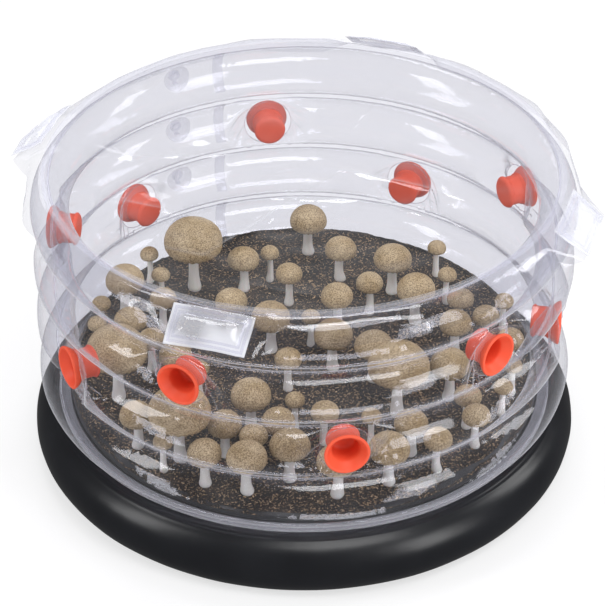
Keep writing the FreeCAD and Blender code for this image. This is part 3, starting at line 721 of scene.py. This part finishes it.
# Ports and plugs: a stiff ribbed weld rings each port. A soft orange-red silicone cup with a
# wide funnel mouth is pushed through it, and two beads on its neck hold it there.
RING_HOLE = 0.0186
RING_RIM = 0.0277
RING_HALF = 0.001
PLUG_STEPS = 72
PLUG_OUTLINE = [
    (0.0, -22.0), (12.0, -22.0), (15.2, -21.8), (16.4, -21.2), (17.5, -20.2), (18.15, -19.0), (18.15, -18.2),
    (17.3, -17.2), (16.6, -16.4), (16.5, -14.0), (16.5, -8.0), (16.5, -5.0), (16.8, -4.0), (17.7, -3.0),
    (18.15, -2.3), (18.15, 0.4), (18.2, 1.3), (19.0, 1.7), (20.4, 2.4), (22.2, 4.6), (23.3, 6.6), (23.9, 7.9),
    (24.0, 8.9), (23.8, 9.6), (23.2, 9.95), (22.6, 10.0), (21.4, 9.95), (21.0, 9.7), (20.7, 9.2), (19.6, 7.4),
    (17.6, 4.2), (15.8, 1.8), (14.9, 0.4), (14.6, -1.5), (14.5, -8.0), (14.4, -15.0), (13.9, -17.8),
    (12.4, -19.2), (9.0, -19.75), (0.0, -19.8),
]


def facing_out(bearing, level):
    """Takes a shape made round its own +Z to a place on the weld plane, pointing outwards."""
    circle = math.radians(bearing)
    place = Vector((SEAM_RADIUS * math.sin(circle), -SEAM_RADIUS * math.cos(circle), level))
    turn = Matrix.Rotation(circle, 4, "Z") @ Matrix.Rotation(math.radians(90), 4, "X")
    return Matrix.Translation(place) @ turn


def silicone_finish():
    """Orange-red silicone with a dull skin and specks of dust."""
    material, tree = blank_material("orange_red_silicone")
    where = in_place(tree)
    clouds = add_node(tree, "ShaderNodeTexNoise", Vector=where, Scale=90.0, Detail=3.0)
    dust = add_node(tree, "ShaderNodeTexNoise", Vector=where, Scale=1400.0, Detail=1.0)
    tone = between(tree, clouds.outputs["Fac"], (0.74, 0.078, 0.033, 1), (0.84, 0.11, 0.048, 1))
    rough = add_node(tree, "ShaderNodeMapRange", Value=clouds.outputs["Fac"], To_Min=0.38, To_Max=0.55)
    bump = add_node(tree, "ShaderNodeBump", Strength=0.1, Distance=0.0003, Height=dust.outputs["Fac"])
    skin = add_node(tree, "ShaderNodeBsdfPrincipled", Base_Color=tone, Roughness=rough.outputs[0],
                    Normal=bump.outputs["Normal"])
    skin.inputs["Specular IOR Level"].default_value = 0.35
    put_out(tree, skin)
    return material


silicone = silicone_finish()
rings = []
for number, bearings in PORTS.items():
    level = LOWEST_SEAM + CHAMBER_PITCH * (4 - number + 0.5)
    for bearing in bearings:
        face = []
        for step in range(15):
            share = step / 14
            rib = 0.0004 if step in (3, 7, 11) else 0
            face.append((RING_HOLE + (RING_RIM - RING_HOLE) * share, RING_HALF - 0.0004 + rib))
        ring = turned(face + [(radius, -height) for radius, height in reversed(face)], 96)
        bmesh.ops.transform(ring, matrix=facing_out(bearing, level), verts=ring.verts)
        rings.append(ring)
finished(gathered(rings), "port_rings", welded_film, "tub", "film_weld", "port_weld_rings")
for index in range(10):
    number = 3 if index % 2 == 0 else 2
    level = LOWEST_SEAM + CHAMBER_PITCH * (4 - number + 0.5)
    plug = turned([(radius / 1000, height / 1000) for radius, height in PLUG_OUTLINE], PLUG_STEPS,
                  closed=False)
    for vert in plug.verts:
        mouth = max(0, vert.co.z) / 0.01
        spoke = math.atan2(vert.co.y, vert.co.x)
        vert.co.z += 0.0005 * mouth * math.sin(spoke * 2 + index * 1.7)
    bmesh.ops.transform(plug, matrix=facing_out(9 + 36 * index, level), verts=plug.verts)
    finished(plug, f"silicone_plug_{index + 1}", silicone, f"port_plug_{index + 1}", "red_silicone",
             f"port_plug_{index + 1}")

# Air valves: a moulded clear PVC flange on each chamber's crown with a short stem, and a hinged
# cap whose pin stops the bore. The ring's own valve is black.


def valve_finish(name, colour, seen_through, roughness):
    material, tree = blank_material(name)
    where = in_place(tree)
    mould = add_node(tree, "ShaderNodeTexNoise", Vector=where, Scale=180.0, Detail=2.0)
    bump = add_node(tree, "ShaderNodeBump", Strength=0.25, Distance=0.001, Height=mould.outputs["Fac"])
    rough = add_node(tree, "ShaderNodeMapRange", Value=mould.outputs["Fac"], To_Min=roughness,
                     To_Max=roughness + 0.12)
    body = add_node(tree, "ShaderNodeBsdfPrincipled", Base_Color=colour, Roughness=rough.outputs[0],
                    Normal=bump.outputs["Normal"])
    clear = add_node(tree, "ShaderNodeBsdfTransparent", Color=(0.975, 0.975, 0.985, 1))
    put_out(tree, joined(tree, "ShaderNodeMixShader", clear, body, Fac=1 - seen_through))
    return material


clear_valve = valve_finish("clear_valve_pvc", (0.93, 0.94, 0.98, 1), 0.88, 0.12)
for number in (1, 2, 3, 4):
    recoated(f"wall_valve_{number}", clear_valve)
    recoated(f"wall_valve_cap_{number}", clear_valve)
recoated("ring_valve", black_pvc)
recoated("ring_valve_cap", black_pvc)

# Lid: a slack round sheet of clear film with creases from its packing, a ribbed weld round its
# edge, and a skirt that lies over the top chamber and ends in a wavy cut edge.
LID_RADIUS = 0.2768
LID_LEVEL = 0.3531
LID_SAG = 0.011
LID_RINGS = 105
LID_STEPS = 380
LID_FOLDS = [
    ((-0.101, -0.169), (-0.004, -0.045), 0.0052, 0.0040), ((-0.036, -0.047), (0.072, -0.053), 0.0034, 0.0040),
    ((-0.004, -0.043), (0.044, 0.010), 0.0030, 0.0040), ((0.028, 0.016), (0.175, -0.054), 0.0036, 0.0045),
    ((0.050, 0.079), (0.127, 0.234), 0.0018, 0.0030), ((-0.258, 0.100), (-0.148, -0.019), 0.0036, 0.0045),
    ((-0.265, 0.010), (-0.075, 0.047), 0.0030, 0.0045), ((-0.221, -0.051), (-0.103, -0.097), 0.0032, 0.0045),
    ((0.080, -0.060), (0.207, -0.137), 0.0034, 0.0040), ((0.095, -0.097), (0.235, -0.184), 0.0030, 0.0040),
    ((-0.179, -0.143), (-0.091, -0.173), 0.0028, 0.0040), ((0.175, -0.064), (0.244, -0.241), 0.0030, 0.0040),
    ((-0.171, 0.111), (-0.111, -0.025), 0.0026, 0.0040), ((-0.075, -0.215), (0.095, -0.273), 0.0024, 0.0045),
    ((0.106, -0.241), (0.199, -0.197), 0.0026, 0.0040),
]


def fold_rise(place, start, end, rise, width):
    """How much one crease lifts the sheet at a place; it fades towards its ends."""
    way = end - start
    share = max(0, min(1, (place - start).dot(way) / way.length_squared))
    distance = (place - start - way * share).length
    return rise * math.exp(-distance / width) * math.sin(math.pi * (0.12 + 0.76 * share))


def lid_height(x, y):
    place = Vector((x, y))
    share = min(1, place.length / LID_RADIUS)
    slack = (1 - share ** 4)
    rise = sum(fold_rise(place, Vector(start), Vector(end), *shape) for start, end, *shape in LID_FOLDS)
    waves = noise.noise(Vector((x * 9, y * 13, 1))) * 0.007
    waves += noise.noise(Vector((x * 26, y * 34, 4))) * 0.0022
    bearing = math.atan2(x, -y)
    pleats = math.sin(bearing * 46 + 3 * math.sin(bearing * 5)) * 0.0007 * share ** 8
    return LID_LEVEL - LID_SAG * (1 - share ** 2) + (rise + waves) * slack + pleats * (1 - share ** 30)


clear_lid = film_finish("clear_lid_film", 0.005, 0.018, FILM_TINT, 16.0, 0.1, 0.38)
lid_work = turned([(LID_RADIUS * step / LID_RINGS, LID_LEVEL) for step in range(LID_RINGS + 1)], LID_STEPS,
                  closed=False)
for vert in lid_work.verts:
    vert.co.z = lid_height(vert.co.x, vert.co.y)
lid_sheet = finished(lid_work, "lid_sheet", clear_lid, "lid", "clear_film", "lid_film")

lid_band = []
for step in range(13):
    rib = 0.0005 if step in (2, 6, 10) else 0
    lid_band.append((0.2725 + 0.009 * step / 12, 0.3546 + rib))
lid_band += [(radius, 0.3539) for radius, height in reversed(lid_band)]
band_work = turned(lid_band, SEAM_STEPS)
for vert in band_work.verts:
    vert.co.z += 0.0004 * noise.noise(Vector((vert.co.x * 50, vert.co.y * 50, 8)))
finished(band_work, "lid_weld_band", welded_film, "lid", "film_weld", "lid_weld_ring")

SKIRT_CORNERS = [
    (0, 303), (24, 306), (49, 301), (66, 305), (82, 303), (104, 300), (119, 304), (141, 304), (158, 304),
    (173, 298), (192, 307), (210, 300), (227, 298), (245, 304), (262, 303), (283, 306), (306, 301),
    (325, 304), (344, 306), (360, 303),
]
SKIRT_START = 0.2773
SKIRT_SPAN = 0.026
SKIRT_DROP = 0.0265
FLAP_REACH = 0.3205
FLAP_HALF = 0.047
FLAP_EDGE = 0.03
TABS = {"front": -18, "right": 72, "back": 162, "left": 252}
SKIRT_ROWS = 14
SKIRT_STEPS = 540


def skirt_reach(bearing):
    """The radius of the skirt's cut edge: nearly straight runs between rounded corners."""
    for (first, near), (second, far) in zip(SKIRT_CORNERS, SKIRT_CORNERS[1:]):
        if first <= bearing <= second:
            share = (bearing - first) / (second - first)
            chord = math.cos(math.radians(second - first) / 2)
            slack = 1 - (1 - chord) * math.sin(math.pi * share)
            return (near + (far - near) * share) / 1000 * slack


def flap_share(bearing):
    """1 where a tab lies on the skirt, fading to 0 beside it."""
    beside = abs(way_round(bearing, TABS.values())) * FLAP_REACH / SEAM_RADIUS
    return max(0, min(1, (FLAP_HALF + FLAP_EDGE - beside) / FLAP_EDGE))


skirt_line = [(SKIRT_START + SKIRT_SPAN * step / SKIRT_ROWS, LID_LEVEL) for step in range(SKIRT_ROWS + 1)]
skirt_work = turned(skirt_line, SKIRT_STEPS, closed=False)
for vert in skirt_work.verts:
    radius = radius_of(vert.co)
    bearing = bearing_of(vert.co)
    share = max(0, min(1, (radius - SKIRT_START) / SKIRT_SPAN))
    flap = flap_share(bearing)
    beside = way_round(bearing, TABS.values()) * FLAP_REACH / SEAM_RADIUS
    straight = math.hypot(FLAP_REACH, 0.9 * min(abs(beside), FLAP_HALF))
    outer = skirt_reach(bearing) * (1 - flap) + straight * flap - SKIRT_START
    wave = noise.noise(Vector((vert.co.x * 30, vert.co.y * 30, 6)))
    angle = share * math.pi / 2
    lean = 0.9 + 0.12 * wave
    round_out = math.sin(angle) ** 0.8 * lean + 0.1 * share
    moved_out(vert.co, SKIRT_START + outer * (round_out * (1 - flap) + share * flap) - radius)
    fall = (1 - math.cos(angle)) * (1 - flap) + share * flap
    vert.co.z = LID_LEVEL - SKIRT_DROP * fall * (1 + 0.12 * wave) + 0.0012 * wave * share
skirt = finished(skirt_work, "lid_skirt_sheet", clear_lid, "lid", "clear_film", "lid_skirt")

# Pull tabs: two layers of film with a little air between them, welded all round with a double
# line, that hang from the skirt on four sides to lift the lid by.
TAB_WIDTH = 0.086
TAB_LENGTH = 0.044
TAB_CELLS_ACROSS = 36
TAB_CELLS_DOWN = 22
TAB_PUFF = 0.0042
TAB_TOP = 0.3547
TAB_RADIUS = 0.286
TAB_DROOP = math.radians(36)
TAB_MARGIN = 0.003
TAB_BAND = 0.007
TAB_LIFT = 0.0012
FRAME_CELLS_ACROSS = 60
FRAME_CELLS_DOWN = 34
FRAME_GAP_AT = 0.0065
FRAME_GAP_HALF = 0.0008
FRAME_UNDERSIDE = 0.0014
FRAME_TOP = 0.0022


def tab_place(across, down, off, bearing):
    """Takes a point of the flat tab to where it hangs: across it, down from its top, off its face."""
    circle = math.radians(bearing)
    curl = 0.003 * (down / TAB_LENGTH) ** 2 * math.sin(bearing + across * 30)
    crease = 0.0016 * noise.noise(Vector((across * 46, down * 46, bearing)))
    off += curl + crease - across ** 2 * 1.1
    out = TAB_RADIUS + math.cos(TAB_DROOP) * down + math.sin(TAB_DROOP) * off
    height = TAB_TOP - math.sin(TAB_DROOP) * down + math.cos(TAB_DROOP) * off
    x = out * math.sin(circle) + across * math.cos(circle)
    y = -out * math.cos(circle) + across * math.sin(circle)
    return Vector((x, y, height))


def second_layer(work):
    """Doubles a flat grid into a closed slab, and gives the corners of its upper layer."""
    grown = bmesh.ops.extrude_face_region(work, geom=work.faces[:])["geom"]
    return {vert for vert in grown if isinstance(vert, bmesh.types.BMVert)}


def tab_puff(across, down):
    """Half the thickness of the air between a tab's layers; nothing on the welded border."""
    border = TAB_MARGIN + TAB_BAND
    beside = min(TAB_WIDTH / 2 - abs(across), down, TAB_LENGTH - down) - border
    room = TAB_LENGTH / 2 - border
    return 0.0004 + TAB_PUFF * math.sin(math.pi / 2 * max(0, min(1, beside / room))) ** 0.7


clear_tab = film_finish("clear_tab_film", 0.2, 0.46, (0.96, 0.96, 0.975, 1), 34.0, 0.2, 0.38)
frames = []
for side, bearing in TABS.items():
    tab_work = bmesh.new()
    bmesh.ops.create_grid(tab_work, x_segments=TAB_CELLS_ACROSS, y_segments=TAB_CELLS_DOWN, size=0.5)
    lifted = second_layer(tab_work)
    for vert in tab_work.verts:
        across = vert.co.x * TAB_WIDTH
        down = (0.5 - vert.co.y) * TAB_LENGTH
        half = tab_puff(across, down) * (1 if vert in lifted else -0.5)
        vert.co = tab_place(across, down, half + TAB_LIFT, bearing)
    bmesh.ops.recalc_face_normals(tab_work, faces=tab_work.faces)
    tab = finished(tab_work, f"lift_tab_{side}", clear_tab, "lid", "clear_film", f"pull_tab_{side}")
    frame_work = bmesh.new()
    bmesh.ops.create_grid(frame_work, x_segments=FRAME_CELLS_ACROSS, y_segments=FRAME_CELLS_DOWN, size=0.5)
    open_faces = []
    for face in frame_work.faces:
        spot = face.calc_center_median()
        inset_across = (0.5 - abs(spot.x)) * TAB_WIDTH
        inset_down = (0.5 - abs(spot.y)) * TAB_LENGTH
        beside = min(inset_across, inset_down)
        past_band = beside < TAB_MARGIN or beside > TAB_MARGIN + TAB_BAND
        if past_band or abs(beside - FRAME_GAP_AT) < FRAME_GAP_HALF:
            open_faces.append(face)
    bmesh.ops.delete(frame_work, geom=open_faces, context="FACES")
    lifted = second_layer(frame_work)
    for vert in frame_work.verts:
        across = vert.co.x * TAB_WIDTH
        down = (0.5 - vert.co.y) * TAB_LENGTH
        off = tab_puff(across, down) + (FRAME_TOP if vert in lifted else FRAME_UNDERSIDE)
        vert.co = tab_place(across, down, off, bearing)
    bmesh.ops.recalc_face_normals(frame_work, faces=frame_work.faces)
    frames.append(frame_work)
finished(gathered(frames), "lift_tab_welds", welded_film, "lid", "film_weld", "tab_weld_frames")

low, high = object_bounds()
